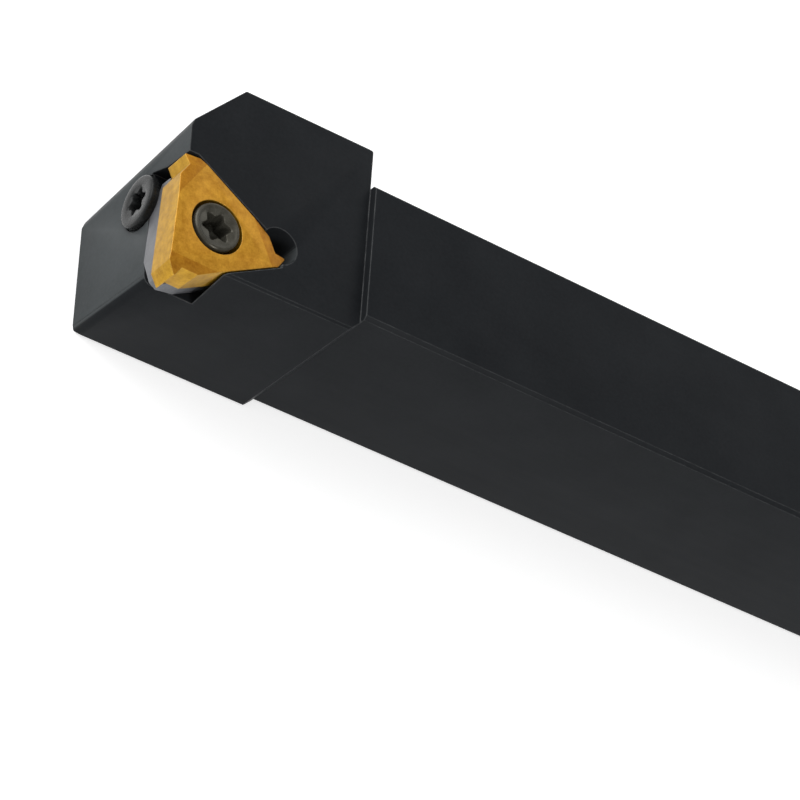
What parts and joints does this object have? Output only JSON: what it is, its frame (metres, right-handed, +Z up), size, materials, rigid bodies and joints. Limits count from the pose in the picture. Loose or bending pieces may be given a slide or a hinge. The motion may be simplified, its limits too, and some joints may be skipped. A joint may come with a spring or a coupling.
{
  "type": "turning tool holder",
  "caption": "Square-shank external threading tool holder: wide head with a screw-held triangular lay-down insert on a shim, its thread tip standing out at the side.",
  "frame": {"origin": "on the bottom seating face, on the centre line of the shank, in the plane of the step where the head begins", "axes": "+X along the shank toward the cutting end, +Y toward the side where the thread tip stands out, +Z up through the top of the insert"},
  "size_m": [0.1253, 0.0244, 0.02],
  "materials": {
    "holder_steel": "black oxide steel, satin",
    "shim_carbide": "ground bare carbide, bluish grey",
    "insert_coating": "gold coated carbide, satin",
    "screw_steel": "dark hardened steel"
  },
  "bodies": {
    "root": {"holder_body": "holder_steel", "shim": "shim_carbide", "threading_insert": "insert_coating", "insert_screw": "screw_steel", "shim_screw": "screw_steel"}
  },
  "joints": []
}
